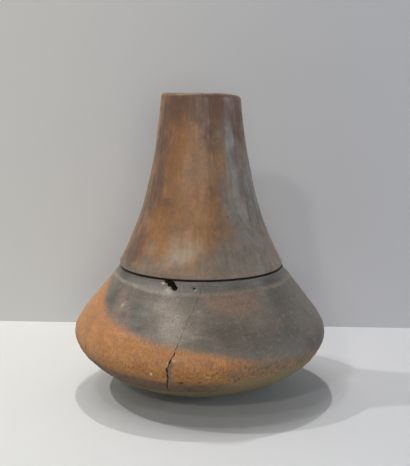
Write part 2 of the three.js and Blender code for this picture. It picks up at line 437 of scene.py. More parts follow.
# Soft spots on the bowl and the neck, by the layer that they are painted in, then dents and pits in the bowl:
# azimuth in degrees, then height, half width and half height in millimetres, then strength
SPOTS_ON_BOWL = {
    "brown": (
        (10, 109, 11, 5, 0.8), (20, 106, 13, 8, 0.8), (30, 109, 8, 5, 0.5), (-38, 94, 4, 5, 0.6),
        (-46, 101, 6, 5, 0.7), (-47, 90, 6, 3, 0.5), (-52, 110, 6, 5, 0.5), (40, 90, 7, 5, 0.35),
        (62, 70, 8, 10, 0.5), (118, 98, 24, 12, 0.8), (-165, 104, 20, 9, 0.7),
    ),
    "dark": (
        (-58, 106, 9, 12, 0.9), (-38, 98, 9, 7, 0.9), (-28, 90, 8, 6, 0.8), (-36, 112, 8, 8, 0.4),
        (10, 89, 10, 8, 0.5), (24, 78, 20, 11, 0.6), (46, 82, 16, 16, 0.7), (50, 110, 10, 9, 0.8),
        (64, 98, 8, 18, 0.4), (22, 121, 10, 4, 0.4), (54, 122, 10, 4, 0.6), (5, 121.5, 9, 3, 0.4),
        (-64, 123.5, 8, 3, 0.8), (64, 54, 11, 10, 1.1), (60, 65, 10, 8, 0.7), (150, 92, 36, 16, 0.8),
        (-140, 112, 26, 8, 0.6),
    ),
    "light": (
        (-13, 88, 9, 9, 0.7), (-14, 99, 9, 8, 0.6), (-12, 79, 8, 5, 0.4), (-22, 106, 7, 5, 0.5),
        (-48, 88, 7, 3, 0.4), (-20, 120, 6, 4, 0.7), (0, 100, 8, 6, 0.4), (-3, 86, 6, 6, 0.5),
        (14, 94, 8, 4, 0.3), (38, 122, 6, 3, 0.4), (-5, 119, 7, 3, 0.3), (100, 90, 14, 12, 0.4),
        (-160, 88, 16, 10, 0.5),
    ),
    "dull": (
        (14, 50, 12, 6, 0.6), (26, 51, 15, 7, 1), (42, 53, 16, 8, 1.2), (58, 56, 14, 9, 1.2),
        (-62, 76, 6, 10, 0.5), (-5, 46, 12, 4, 0.4), (-30, 47, 14, 3, 0.5), (-52, 50, 8, 4, 0.4),
        (120, 50, 30, 12, 0.7),
    ),
    "scuff": (
        (-24.5, 124.3, 1.6, 1, 1.1), (-21.5, 120.6, 3, 1.4, 0.8), (-19, 118.2, 3.4, 1, 0.7),
        (-27.5, 124.6, 2.2, 0.8, 0.5), (-46.4, 102.5, 1.7, 3, 0.75), (-20.6, 49.6, 0.8, 1.5, 1.6),
        (-10.2, 64.6, 1.2, 1.2, 1.3), (-8.6, 65.6, 0.9, 0.8, 0.8), (-12.9, 62.4, 0.9, 1.2, 1),
        (3.8, 48.6, 3, 1, 0.75), (8.5, 49.6, 2, 0.8, 0.5), (-3.4, 119.9, 1.3, 0.9, 0.75),
        (140, 70, 1.6, 2.6, 0.9), (-128, 58, 2.4, 1.4, 0.8),
    ),
}
DENTS_ON_BOWL = (
    (-3.7, 121.8, 1.1, 0.8, 1.7), (-46, 103.4, 2, 3.4, 0.9), (-22, 120.6, 3.6, 1.8, 0.8),
    (-19, 118.4, 3.2, 1.4, 0.5), (-20.6, 49.6, 1, 1.6, 0.6), (-11.6, 62.6, 2, 2, 0.8), (140, 70, 2, 3, 0.8),
    (-128, 58, 2.8, 1.8, 0.7),
)
PITS_ON_BOWL = (
    (-7.9, 41.7, 1.9, 1.1, 1), (7.2, 52.9, 0.9, 0.8, 0.8), (5.6, 50.3, 1, 0.8, 0.9),
    (9.5, 52.6, 1, 0.7, 0.8), (1.5, 48.9, 0.9, 1.4, 0.7), (-0.1, 42.2, 0.9, 1.2, 0.8),
    (-3.8, 52.6, 0.8, 0.7, 0.8), (-0.4, 53.3, 0.8, 0.7, 0.7), (12.7, 44.6, 0.8, 1.6, 0.8),
    (15.7, 41.3, 0.9, 1.1, 0.8), (-45, 106.8, 1.6, 1, 0.5), (-14, 53, 0.6, 0.8, 0.6),
)
SPOTS_ON_NECK = {
    "amber": (
        (-44, 180, 9, 13, 0.55), (-40, 164, 8, 8, 0.35), (-52, 154, 5, 6, 0.5), (-14, 200, 10, 22, 0.45),
        (-22, 240, 7, 24, 0.4), (-30, 262, 5, 12, 0.5), (4, 195, 9, 14, 0.4), (130, 240, 14, 26, 0.7),
        (-150, 180, 16, 22, 0.7),
    ),
    # Brown spots are darker streaks of the clay; those round to the left, between about 35 and 75 degrees,
    # also paint the shade on the neck's left flank.
    "brown": (
        (10, 290, 14, 7, 1), (-12, 292, 12, 6, 0.6), (-45, 290, 8, 10, 0.7), (-60, 258, 6, 18, 1),
        (9, 262, 6, 8, 0.7), (12, 246, 4, 5, 0.5), (-50, 208, 6, 9, 0.7), (-36, 196, 6, 5, 0.5),
        (-74, 190, 6, 34, 0.6), (95, 280, 22, 16, 0.8), (170, 285, 22, 10, 0.7), (-120, 230, 16, 30, 0.5),
        (-54, 228, 7, 30, 0.5), (-60, 184, 8, 24, 0.5), (-58, 158, 8, 9, 0.6), (-64, 142, 11, 9, 1.3),
        (2, 282, 22, 12, 0.9), (-42, 250, 7, 22, 0.35), (56, 270, 6, 14, 0.5), (12, 196, 7, 14, 0.45),
        (-18, 172, 8, 7, 0.3), (46, 246, 4, 22, 0.5), (52, 206, 5, 22, 0.5), (62, 262, 5, 18, 0.5),
        (66, 168, 9, 16, 0.4), (40, 158, 6, 9, 0.3),
    ),
    # These spots are thin smoke; the narrow ones round to the right, between about 22 and 44 degrees, paint
    # the sheen of the highlight streak.
    "smoke_and_sheen": (
        (54, 284, 12, 14, 0.9), (38, 262, 5, 20, 0.6), (62, 240, 14, 24, 0.7), (44, 225, 7, 26, 0.7),
        (60, 190, 16, 26, 0.8), (38, 180, 8, 14, 0.6), (56, 152, 18, 14, 1), (22, 151, 16, 11, 0.8),
        (2, 140, 16, 5, 0.5), (-40, 138, 14, 6, 0.8), (34, 138, 18, 6, 0.8), (58, 138, 14, 6, 0.6),
        (26, 190, 7, 12, 0.5), (25, 214, 5, 14, 0.4), (-78, 142, 6, 6, 0.5), (8, 225, 7, 12, 0.4),
        (14, 262, 6, 8, 0.6), (84, 215, 14, 40, 0.6), (150, 160, 26, 18, 0.6), (-110, 165, 18, 20, 0.5),
    ),
    "pale": (
        (-17, 146, 10, 6, 0.8), (-4, 156, 9, 7, 0.6), (-22, 160, 6, 8, 0.5), (-28, 139, 6, 3, 0.5),
        (-16, 225, 6, 22, 0.35), (34, 160, 5, 8, 0.4), (-41, 152, 6, 7, 0.5), (160, 210, 14, 18, 0.4),
    ),
    "speck": (
        (25.6, 183.6, 0.9, 1.3, 1), (12.4, 172.5, 1.4, 2.2, 0.7), (6, 258, 2, 2, 0.5),
        (9.5, 254, 2.4, 2.4, 0.5), (2, 249, 2, 2, 0.45), (13, 262, 1.6, 3, 0.5), (7, 232, 1, 1.4, 0.5),
        (-57, 154, 1.4, 1.8, 0.6), (-12, 190, 1, 1, 0.4), (-9, 179, 1.4, 0.8, 0.4), (150, 200, 1.2, 2, 0.8),
        (-130, 170, 1.4, 2.4, 0.7),
    ),
}

# Scratches on the neck, each a line of azimuth in degrees and height in millimetres, with its half width in
# millimetres, and its strength: pale if more than nothing, and dark if less
SCRATCHES_ON_NECK = (
    (((-31, 262), (-37, 256), (-46, 245), (-50, 240)), 0.8, 0.55),
    (((-40, 262), (-43, 252), (-50, 240)), 0.5, -0.5), (((38, 174), (41, 169), (44, 163)), 0.9, 0.5),
    (((33, 172), (37, 165), (40, 158)), 0.7, 0.3), (((43, 166), (47, 159), (49, 154)), 0.8, 0.45),
    (((37, 184), (42, 176), (47, 168)), 0.9, -0.6),
    (((26, 180), (31, 170), (34, 160), (35, 150)), 0.6, -0.3),
    (((10, 178), (6, 168), (6, 160)), 0.7, -0.45), (((14, 170), (8, 163)), 0.6, -0.35),
    (((-10, 208), (-4, 200), (4, 196)), 0.5, -0.3), (((-26, 176), (-14, 172), (-6, 173)), 0.5, -0.35),
    (((16, 240), (19, 226), (18, 214)), 0.7, -0.35), (((24, 236), (27, 222)), 0.6, 0.35),
    (((-16, 250), (-14, 236)), 0.5, 0.25), (((42, 205), (43, 190), (47, 178)), 0.6, -0.5),
    (((30, 240), (32, 215), (35, 195)), 0.6, 0.5), (((28, 252), (29, 225), (31, 205)), 0.5, -0.4),
    (((50, 168), (58, 156), (62, 146)), 0.6, -0.6), (((44, 152), (50, 145)), 0.7, 0.6),
    (((4, 228), (-2, 214), (-6, 200)), 0.7, 0.35), (((-22, 215), (-20, 190)), 0.6, -0.25),
    (((-28, 190), (-18, 186), (-8, 186)), 0.5, -0.35), (((120, 260), (126, 230), (124, 205)), 0.6, -0.5),
    (((-150, 240), (-156, 215), (-150, 190)), 0.6, 0.5),
)


def crack_at(height):
    """The crack's azimuth in degrees and its width as a share of the widest, at each height: the line read
    between its points, with a small jitter of two sines, and an unevenness of width of one."""
    centres, levels, widths = np.array(CRACK_LINE[::-1]).T
    jitter = 0.16 * np.sin(height / MM * 1.1) + 0.12 * np.sin(height / MM * 2.3 + 1)
    uneven = 0.8 + 0.3 * np.sin(height / MM * 0.9 + 2)
    share = np.interp(height, levels * MM, widths)
    return np.interp(height, levels * MM, centres) + jitter * (share > 0), share * uneven


def crack_reach(places, width):
    """How far places lie from the middle of the crack, in half widths of the crack."""
    centre, share = crack_at(places[1])
    return np.abs(arc(places, centre)) / np.maximum(share * width / 2, THINNEST_CRACK)


def bowl_profile():
    """Radius, height and share of inside: foot, underside, shoulder, rim, and back down the inside."""
    belly = (BELLY_RADIUS, BELLY_HEIGHT)
    rim = (RIM_RADIUS, RIM_HEIGHT)
    mouth = RIM_RADIUS - RIM_WIDTH
    under_rim = RIM_HEIGHT - RIM_DEPTH
    underside = sweep((FOOT_RADIUS, 0), FOOT_RISE, belly, 90, UNDERSIDE_CARRY)
    shoulder = sweep(belly, 90, rim, 180 - SHOULDER_SLOPE, SHOULDER_CARRY)
    outside = np.vstack([underside, shoulder[1:]])
    inside = inset(outside, BOWL_WALL)
    inside = inside[(inside[:, 1] > BOWL_WALL) & (inside[:, 1] < under_rim - BOWL_WALL)][::-1]
    edge = rounding(rim, RIM_ROUNDING * heading(-SHOULDER_SLOPE), (-RIM_ROUNDING, 0))
    return joined(
        (
            (np.vstack([[AXIS_GAP, 0], outside[outside[:, 1] < edge[0, 1]], edge]), 0),
            (rounding((mouth, RIM_HEIGHT), (RIM_ROUNDING, 0), (0, -RIM_ROUNDING)), 0.5),
            (np.vstack([[mouth, under_rim], inside, [AXIS_GAP, BOWL_WALL]]), 1),
        )
    )


def bowl_row_spacing(rows):
    """Rows lie closest at the rim's edges and in the band, and further apart inside."""
    _, height, inside = rows.T
    band = ramp(height, 112 * MM, 116 * MM) * (inside < 1)
    rim = ramp(height, RIM_HEIGHT - 1.5 * MM, RIM_HEIGHT - 0.4 * MM)
    return (1.35 - 0.5 * band + 3.6 * (inside == 1)) * MM * (1 - 0.65 * rim)


def bowl_column_spacing(azimuth):
    """Columns lie closest along the crack, close at the break in the rim, and widest at the back."""
    by_crack = 0.055 + 0.1 * np.maximum(np.abs(azimuth) - 1.0, 0)
    by_break = 0.45 + 0.15 * np.maximum(np.abs(turn_apart(azimuth, BREAK_AZIMUTH)) - 8.0, 0)
    return np.minimum(np.minimum(by_crack, by_break), 1.1 + 0.9 * ramp(np.abs(azimuth), *BACK_ANGLES))


def scattered_pits(places, count, seed):
    """Random pits where grit fell out of the clay: a sum of bell curves, each a millimetre or two wide."""
    random = np.random.default_rng(seed)
    height = places[1]
    total = np.zeros_like(height)
    for _ in range(count):
        width = random.uniform(0.8, 1.6) * MM
        centre = random.uniform(-180, 180)
        level = random.uniform(10, 112) * MM
        depth = random.uniform(0.3, 1.0)
        near = np.abs(height - level) < 4 * width
        across = arc([layer[near] for layer in places], centre)
        total[near] += depth * hump(across, width) * hump(height[near] - level, width)
    return total


def all_pits(places):
    """The pits seen in front and shallower scattered ones, each 1 deep at most and fewer above the belly."""
    above = ramp(places[1], 70 * MM, 90 * MM)
    return 0.55 * scattered_pits(places, PIT_COUNT, 7) * (1 - 0.6 * above) + marks(PITS_ON_BOWL, places)


def flaked_strip(places):
    """The strip right of the crack where the skin has flaked off: a flat-topped hump across, between two
    heights."""
    height = places[1]
    across = arc(places, crack_at(height)[0])
    sides = ramp(across, 0.4 * MM, 1.0 * MM) * ramp(across, 4.6 * MM, 3.2 * MM)
    return sides * ramp(height, 36 * MM, 42 * MM) * ramp(height, 64 * MM, 58 * MM)


def bowl_relief(azimuth, profile, sizes):
    """How far the bowl's skin stands out: slow waves of the hand-built wall, the pressed band and its ridge,
    scraping and pits low down, flaked spots, and the crack as a steep-sided groove."""
    plain = turned(profile, azimuth, 0, False)
    radius, height, inside = (column[:, None] + 0 * azimuth for column in profile.T)
    places = (azimuth, height, radius)
    outside = (1 - ramp(inside, 0, 0.4)) * (1 - ramp(height, RIM_HEIGHT - 1 * MM, RIM_HEIGHT))
    off_foot = ramp(height, 0, 4 * MM)
    ridge_height = around(RIDGE_LINE, azimuth) * MM
    low = 1 - ramp(height, 62 * MM, 80 * MM)

    waves = sizes.wobble * (swell(plain, 120 * MM, 1) + 0.45 * swell(plain, 38 * MM, 2))
    wiping = 0.16 * MM * swell(plain * (1, 1, 4.5), 46 * MM, 3) * (1 - low)
    scraping = sizes.scraping * low * (swell(plain, 9 * MM, 4) + 0.8 * swell(plain, 5 * MM, 5))
    band = -sizes.band_hollow * hump(height - (ridge_height + RIM_HEIGHT) / 2, 3.4 * MM)
    ridge_strength = 0.75 + 0.25 * swell(plain, 30 * MM, 6)
    ridge = sizes.ridge * ridge_strength * hump(height - ridge_height, 1.5 * MM)
    pits = -0.5 * MM * all_pits(places)
    dents = -MM * marks(DENTS_ON_BOWL, places) * (1 + 0.35 * swell(plain, 3 * MM, 8))

    reach = crack_reach(places, sizes.crack_width)
    share = crack_at(height)[1]
    deep = np.minimum(1, 0.02 + 1.3 * share**1.5) * (share > 0)
    groove = -sizes.crack_depth * deep * (1 - ramp(reach, 0.55, 1.1))
    worn_edge = -0.35 * MM * share * hump(reach, 2.2) * (1 + 0.6 * swell(plain, 4 * MM, 9))
    flaked = -0.6 * MM * flaked_strip(places) * (1 + 0.3 * swell(plain, 5 * MM, 14))

    outer = waves + wiping + scraping + band + ridge + pits + dents + groove + worn_edge + flaked
    foot = 0.2 * MM * swell(plain, 14 * MM, 11) * (1 - off_foot) * (height > 0.2 * MM)
    below_rim = ramp(RIM_HEIGHT - height, 9 * MM, 30 * MM)
    inner = 0.5 * MM * swell(plain * (1, 1, 3), 60 * MM, 10) * ramp(inside, 0.8, 1) * below_rim
    return outer * outside * off_foot + foot + inner


def break_cutter():
    """The body that is taken out of the rim: the break's outline, made uneven and carried along a radius.
    Each ring is the outline, shaken by smooth noise."""
    outline = np.array(BREAK_OUTLINE) * MM
    outline = filled(np.vstack([outline, outline[:1]]))[::6][:-1]
    depths = np.linspace(*BREAK_REACH, 26)[:, None]
    rings = np.broadcast_arrays(outline[:, 0], -depths, outline[:, 1] + RIM_HEIGHT)
    points = np.stack(rings, axis=-1)
    shake = 0.5 * MM * (swell(points, 6 * MM, 12) + 0.6 * swell(points, 2.5 * MM, 13))
    points = points + shake[..., None] * (1, 0, 0.8)
    right, back = heading(BREAK_AZIMUTH)
    turn = np.array([[right, back, 0], [-back, right, 0], [0, 0, 1]])
    return shell_mesh("break_cutter", points @ turn, False)


def cut_out(mesh, cutter_mesh):
    """The mesh without what lies inside the cutter, by a boolean difference of the two closed shells."""
    whole = bpy.data.objects.new("whole", mesh)
    cutter = bpy.data.objects.new("cutter", cutter_mesh)
    for holder in (whole, cutter):
        bpy.context.scene.collection.objects.link(holder)
    difference = whole.modifiers.new("difference", "BOOLEAN")
    difference.operation = "DIFFERENCE"
    difference.solver = "MANIFOLD"
    difference.object = cutter
    evaluated = whole.evaluated_get(bpy.context.evaluated_depsgraph_get())
    result = bpy.data.meshes.new_from_object(evaluated)
    for holder in (whole, cutter):
        bpy.data.objects.remove(holder)
    return result


def bowl_mesh(sizes):
    """The bowl's closed shell. Its columns follow the crack: each azimuth sways with the crack's line by a
    squared cosine that dies out round the sides."""
    profile = spread(filled(bowl_profile()), bowl_row_spacing)
    columns = spread_around(bowl_column_spacing)
    centre = np.where(profile[:, 2] > 0, CRACK_LINE[0][0], crack_at(profile[:, 1])[0])
    sway = np.cos(math.pi / 2 * np.clip(np.abs(columns) / CRACK_SWAY, 0, 1)) ** 2
    azimuth = columns[None, :] + centre[:, None] * sway[None, :]
    points = turned(profile, azimuth, bowl_relief(azimuth, profile, sizes), False)
    return cut_out(shell_mesh("bowl_body", points, False), break_cutter())


def settle(mesh, sizes):
    """Moves a painted mesh's points to where the jug's unevenness puts them."""
    mesh.vertices.foreach_set("co", set_aside(coordinates_of(mesh), sizes).ravel())


def depth_under(profile, places):
    """How deep places lie under the outside: how far the radius falls short of the outside's at that height,
    times how far the outside's normal points outwards there."""
    _, height, radius = places
    outer = profile[(profile[:, 2] == 0) & (profile[:, 1] > 0.3 * MM)]
    normal = outward(outer[:, :2], False)
    order = np.argsort(outer[:, 1])
    levels = outer[order, 1]
    short = np.interp(height, levels, outer[order, 0]) - radius
    return short * np.interp(height, levels, normal[order, 0]) * (height > 0.8 * MM)


def paint_bowl(mesh, sizes):
    """The layers that the bowl's material reads: heights over the smoke's edge, the ridge and the edge of the
    darker ring of char and painted shade, crack, flaked strip, pits, depth under the skin, and the soft spots
    of each tint."""
    places = vertex_places(mesh)
    azimuth, height, _ = places
    share = crack_at(height)[1]
    # Painted shade in the crack: nearly black along its middle, more so where it gapes wider.
    crack_painted_shade = 1 - ramp(crack_reach(places, sizes.crack_width), 0.6, 1.5)
    paint(
        mesh,
        over_cloud_edge=height - around(CLOUD_EDGE, azimuth) * MM,
        over_ridge=height - around(RIDGE_LINE, azimuth) * MM,
        over_char=height - around(CHAR_EDGE, azimuth) * MM,
        crack=crack_painted_shade * np.minimum(1, 0.06 + 1.5 * share) * (share > 0),
        flaked=flaked_strip(places),
        pit=all_pits(places),
        # Painted shade: how deep a point lies under the outer skin says where the inside and the break's
        # faces are painted dark.
        depth=depth_under(bowl_profile(), places),
        **{name: marks(spots, places) for name, spots in SPOTS_ON_BOWL.items()},
    )


def neck_profile():
    """Radius, height and share of inside: the collar, the seat, the skirt's edge, which droops a little over
    the packing, the neck, the lip, and down the inside."""
    collar_outer = RIM_RADIUS - RIM_WIDTH - COLLAR_CLEARANCE
    collar_inner = collar_outer - COLLAR_WALL
    soft = COLLAR_ROUNDING
    skirt = SKIRT_RADIUS - SKIRT_WEAR
    mouth = MOUTH_RADIUS - NECK_WALL
    skirt_top = (skirt, NECK_BOTTOM + SKIRT_EDGE)
    lip_base = (MOUTH_RADIUS, NECK_TOP - LIP_ROUNDING)
    wall = sweep(skirt_top, 180 - SKIRT_SLOPE, lip_base, 90 + LIP_LEAN, NECK_CARRY)
    inside = inset(wall, NECK_WALL)
    inside = inside[(inside[:, 0] < collar_inner) & (inside[:, 1] < NECK_TOP - 2 * LIP_INNER_ROUNDING)][::-1]
    outer = (
        rounding((collar_outer, COLLAR_BOTTOM), (-soft, 0), (0, soft)),
        rounding((collar_outer, NECK_BOTTOM), (0, -soft), (soft, 0)),
        [[PACKING_RADIUS + 0.5 * MM, NECK_BOTTOM]],
        rounding((skirt, NECK_BOTTOM - SKIRT_DROOP), (-SKIRT_ROUNDING, 0), (0, soft)),
        wall,
        rounding((MOUTH_RADIUS, NECK_TOP), (0, -LIP_ROUNDING), (-LIP_ROUNDING, 0)),
    )
    inner = (
        rounding((mouth, NECK_TOP), (LIP_INNER_ROUNDING, 0), (0, -LIP_INNER_ROUNDING)),
        inside,
        [[collar_inner, NECK_BOTTOM]],
        rounding((collar_inner, COLLAR_BOTTOM), (0, soft), (soft, 0)),
        [[collar_outer - soft, COLLAR_BOTTOM]],
    )
    return joined(((np.vstack(outer), 0), (np.vstack(inner), 1)))


def neck_row_spacing(rows):
    """Rows lie closest at the lip and the skirt's edge, and further apart inside."""
    _, height, inside = rows.T
    at_lip = ramp(height, NECK_TOP - 6 * MM, NECK_TOP - 3 * MM)
    at_skirt = 1 - ramp(height, NECK_BOTTOM + 2 * MM, NECK_BOTTOM + 5 * MM)
    return (1.25 + 2.75 * inside) * MM * (1 - 0.65 * np.maximum(at_lip, at_skirt))


def neck_relief(azimuth, profile, sizes):
    """How far the neck's skin stands out: slow waves, and upright burnish facets as noise that changes
    quickly round the neck and slowly up it."""
    plain = turned(profile, azimuth, 0, True)
    radius, height, inside = (column[:, None] + 0 * azimuth for column in profile.T)
    angle = np.radians(azimuth)
    wrapped = np.stack([STREAK_RADIUS * np.sin(angle), STREAK_RADIUS * np.cos(angle), 0.09 * height], axis=-1)
    waves = sizes.wobble * (swell(plain, 110 * MM, 21) + 0.5 * swell(plain, 34 * MM, 22))
    facets = sizes.facets * (swell(wrapped, 9 * MM, 23) + 0.4 * swell(wrapped, 4 * MM, 24))
    dents = -0.35 * MM * marks(SPOTS_ON_NECK["speck"], (azimuth, height, radius))
    outside = (1 - inside) * ramp(height, NECK_BOTTOM + 0.5 * MM, NECK_BOTTOM + 4 * MM)
    over_collar = ramp(height, NECK_BOTTOM + 4 * MM, NECK_BOTTOM + 20 * MM)
    under_lip = 1 - ramp(height, NECK_TOP - 12 * MM, NECK_TOP - 4 * MM)
    inner = 0.35 * MM * swell(plain * (1, 1, 3), 40 * MM, 25) * inside * over_collar * under_lip
    return (waves + facets + dents) * outside + inner


def worn_lip(points, azimuth, sizes):
    """Lowers the lip: by the wear on the right side as a bell curve of azimuth, a little at the back, and by
    small nibbles, all fading out down the first centimetres of the neck."""
    height = points[..., 2]
    right, back = (hump(turn_apart(azimuth, centre), width) for centre, width in LIP_WEAR)
    wear = sizes.lip_wear * right + BACK_LIP_WEAR * back
    flat = points * (1, 1, 0)
    nibbles = 0.2 * MM * np.abs(swell(flat, 13 * MM, 26)) + 0.15 * MM * np.abs(swell(flat, 5 * MM, 27))
    points[..., 2] -= (wear + nibbles) * ramp(height, NECK_TOP - 22 * MM, NECK_TOP)
    return points


def drooped(points, sizes):
    """Tilts the neck down to the right: each point sinks by the droop times its place across, over the
    skirt's radius. The seat and the collar stay level."""
    radius = np.hypot(points[..., 0], points[..., 1])
    over_seat = ramp(points[..., 2], NECK_BOTTOM + 0.2 * MM, NECK_BOTTOM + 3 * MM)
    past_packing = ramp(radius, PACKING_RADIUS + 0.3 * MM, PACKING_RADIUS + 0.7 * MM)
    points[..., 2] -= sizes.droop * points[..., 0] / SKIRT_RADIUS * np.maximum(over_seat, past_packing)
    return points


def scratches(places):
    """Fine lines on the neck: for each, a bell curve of the shortest distance to any of its straights."""
    _, height, radius = places
    total = np.zeros_like(radius)
    for line, width, strength in SCRATCHES_ON_NECK:
        centre = line[0][0]
        spot = np.stack([arc(places, centre), height])
        nearest = np.full_like(radius, np.inf)
        for (first, low), (last, high) in zip(line, line[1:]):
            start = np.stack([np.radians(first - centre) * radius, np.full_like(radius, low * MM)])
            step = np.stack([np.radians(last - first) * radius, np.full_like(radius, (high - low) * MM)])
            away = spot - start
            share = np.clip((away * step).sum(axis=0) / (step * step).sum(axis=0), 0, 1)
            nearest = np.minimum(nearest, np.hypot(*(away - share * step)))
        total += strength * hump(nearest, width * MM)
    return total


def neck_mesh(sizes):
    """The neck's closed shell: a looped profile turned evenly about the axis."""
    profile = spread(filled(neck_profile()), neck_row_spacing)[:-1]
    columns = spread_around(lambda azimuth: 0.84 + 0.6 * ramp(np.abs(azimuth), *BACK_ANGLES))
    azimuth = columns[None, :] + 0 * profile[:, :1]
    points = turned(profile, azimuth, neck_relief(azimuth, profile, sizes), True)
    return shell_mesh("neck", drooped(worn_lip(points, azimuth, sizes), sizes), True)


def paint_neck(mesh):
    """The layers that the neck's material reads: scratches, depth under the skin, which also gives the
    skirt's lower edge the painted shade of the seam, and the soft spots of each tint."""
    places = vertex_places(mesh)
    # Painted shade at the seam: the skirt's lowest edge counts as 2 mm deep, so it gets the dark inside
    # colour.
    seam_painted_shade = 2 * MM * (1 - ramp(places[1], NECK_BOTTOM - SKIRT_DROOP, NECK_BOTTOM + 0.3 * MM))
    paint(
        mesh,
        scratch=scratches(places),
        depth=np.maximum(depth_under(neck_profile(), places), seam_painted_shade),
        **{name: marks(spots, places) for name, spots in SPOTS_ON_NECK.items()},
    )


def packing_mesh():
    """The packing: a flat ring with rounded corners, its outer edge pressed in and out by hand."""
    outer, inner = PACKING_RADIUS, PACKING_RADIUS - PACKING_WIDTH
    low, high, soft = PACKING_BOTTOM, PACKING_TOP, PACKING_ROUNDING
    corners = (
        rounding((outer, low), (-soft, 0), (0, soft)),
        rounding((outer, high), (0, -soft), (-soft, 0)),
        rounding((inner, high), (soft, 0), (0, -soft)),
        rounding((inner, low), (0, soft), (soft, 0)),
        [[outer - soft, low]],
    )
    profile = spread(filled(np.vstack(corners)), lambda rows: np.full(len(rows), 0.45 * MM))[:-1]
    azimuth = spread_around(np.ones_like)[None, :] + 0 * profile[:, :1]
    points = turned(profile, azimuth, 0, True)
    push = -0.3 * MM * np.abs(swell(points, 14 * MM, 31) + 0.5 * swell(points, 5 * MM, 32))
    away = np.stack([np.sin(np.radians(azimuth)), -np.cos(np.radians(azimuth)), 0 * azimuth], axis=-1)
    return shell_mesh("seam_lute", points + push[..., None] * away, True)


def add_node(tree, kind, inputs=None, out=0, **settings):
    """Adds a node with its settings, and hands back one of its outputs. Each input, by name or by number, is
    linked from an output or set to a value, and a colour gets full opacity added."""
    node = tree.nodes.new(kind)
    for name, value in settings.items():
        setattr(node, name, value)
    for name, value in (inputs or {}).items():
        socket = node.inputs[name]
        if isinstance(value, bpy.types.NodeSocket):
            tree.links.new(value, socket)
        else:
            socket.default_value = (*value, 1) if socket.type == "RGBA" else value
    return node.outputs[out] if node.outputs else None


def new_material(name):
    """A material with an empty tree, and the place on the piece that its patterns follow."""
    material = bpy.data.materials.new(name)
    material.use_nodes = True
    tree = material.node_tree
    tree.nodes.clear()
    return material, tree, add_node(tree, "ShaderNodeTexCoord", out="Object")


def put_surface(tree, inputs):
    """Puts a plain shader with those inputs on the surface."""
    shader = add_node(tree, "ShaderNodeBsdfPrincipled", inputs)
    add_node(tree, "ShaderNodeOutputMaterial", {"Surface": shader})


def grain(tree, place, size, detail=3.0, roughness=0.55, stretch=(1, 1, 1)):
    """Noise in grains about that many millimetres across, and longer along an axis whose stretch is small."""
    drawn = add_node(tree, "ShaderNodeMapping", {"Vector": place, "Scale": stretch})
    inputs = {"Vector": drawn, "Scale": 1 / (size * MM), "Detail": detail, "Roughness": roughness}
    return add_node(tree, "ShaderNodeTexNoise", inputs, "Fac")


def eased(tree, steps, operation="MULTIPLY"):
    """The product or sum of some steps. Each is a value, where it lies between two levels, eased, and the
    numbers that it becomes at the first level and at the second."""
    total = None
    for value, low, high, start, end in steps:
        inputs = {"Value": value, "From Min": low, "From Max": high, "To Min": start, "To Max": end}
        step = add_node(tree, "ShaderNodeMapRange", inputs, interpolation_type="SMOOTHSTEP")
        if total is not None:
            step = add_node(tree, "ShaderNodeMath", {0: total, 1: step}, operation=operation)
        total = step
    return total


def laid(tree, colour, *coats):
    """The colour with coats laid over it in turn: each is a tint, and the steps whose product says how
    thickly it lies."""
    for tint, *steps in coats:
        inputs = {0: eased(tree, steps), 6: colour, 7: tint}
        colour = add_node(tree, "ShaderNodeMix", inputs, 2, data_type="RGBA")
    return colour


def wrapped_place(tree, place, upright):
    """Places for streaks that run up the neck: the direction from the axis times the streaks' radius, and
    the height times upright."""
    kind = "ShaderNodeVectorMath"
    flat = add_node(tree, kind, {0: place, 1: (1, 1, 0)}, operation="MULTIPLY")
    away = add_node(tree, kind, {0: flat}, operation="NORMALIZE")
    risen = add_node(tree, kind, {0: place, 1: (0, 0, upright)}, operation="MULTIPLY")
    inputs = {0: away, 1: (STREAK_RADIUS, STREAK_RADIUS, 0), 2: risen}
    return add_node(tree, kind, inputs, operation="MULTIPLY_ADD")


def shaded(tree, colour, *steps):
    """The colour made darker or lighter: multiplied by the product of some steps."""
    inputs = {0: 1.0, 6: colour, 7: eased(tree, steps)}
    return add_node(tree, "ShaderNodeMix", inputs, 2, data_type="RGBA", blend_type="MULTIPLY")


def warped(tree, value, *patterns):
    """A value moved up or down by noise patterns, by up to half of the amount that each has."""
    for pattern, amount in patterns:
        centred = add_node(tree, "ShaderNodeMath", {0: pattern, 1: 0.5}, operation="SUBTRACT")
        value = add_node(tree, "ShaderNodeMath", {0: centred, 1: amount, 2: value}, operation="MULTIPLY_ADD")
    return value


def fine_relief(tree, strength, depth, *patterns):
    """A fine relief as deep as depth: the sum of patterns, each times its weight."""
    total = 0.0
    for pattern, weight in patterns:
        total = add_node(tree, "ShaderNodeMath", {0: pattern, 1: weight, 2: total}, operation="MULTIPLY_ADD")
    return add_node(tree, "ShaderNodeBump", {"Height": total, "Strength": strength, "Distance": depth})


